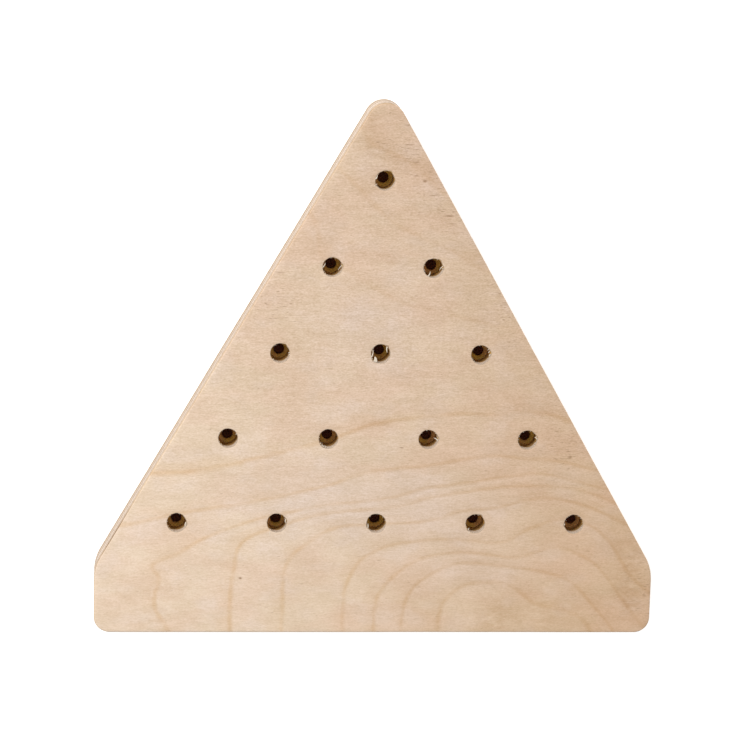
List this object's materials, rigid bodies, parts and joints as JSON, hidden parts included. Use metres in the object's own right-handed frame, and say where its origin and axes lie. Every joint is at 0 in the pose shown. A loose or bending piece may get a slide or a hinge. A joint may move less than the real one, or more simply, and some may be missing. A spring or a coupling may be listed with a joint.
{
  "type": "peg jump game board",
  "caption": "Triangular plywood peg-solitaire board with rounded top corner, cropped bottom corners and a triangular grid of stepped peg holes.",
  "frame": {"origin": "middle of the footprint's bounding box, on the underside of the board", "axes": "+Z out of the top face, where the peg holes open; +Y towards the board's top corner; +X along the bottom edge"},
  "size_m": [0.1432, 0.1362, 0.0095],
  "materials": {
    "face_veneer": "fine-sanded, unfinished rotary-cut birch",
    "long_ply": "sawn and sanded edge, grain along the edge",
    "cross_ply": "sawn and sanded edge, end grain",
    "glue": "cured brown wood adhesive, matt"
  },
  "bodies": {
    "root": {"top_face_veneer": "face_veneer", "glue_line_1": "glue", "upper_cross_ply": "cross_ply", "glue_line_2": "glue", "upper_long_ply": "long_ply", "glue_line_3": "glue", "core_cross_ply": "cross_ply", "glue_line_4": "glue", "lower_long_ply": "long_ply", "glue_line_5": "glue", "lower_cross_ply": "cross_ply", "glue_line_6": "glue", "bottom_face_veneer": "face_veneer"}
  },
  "joints": []
}
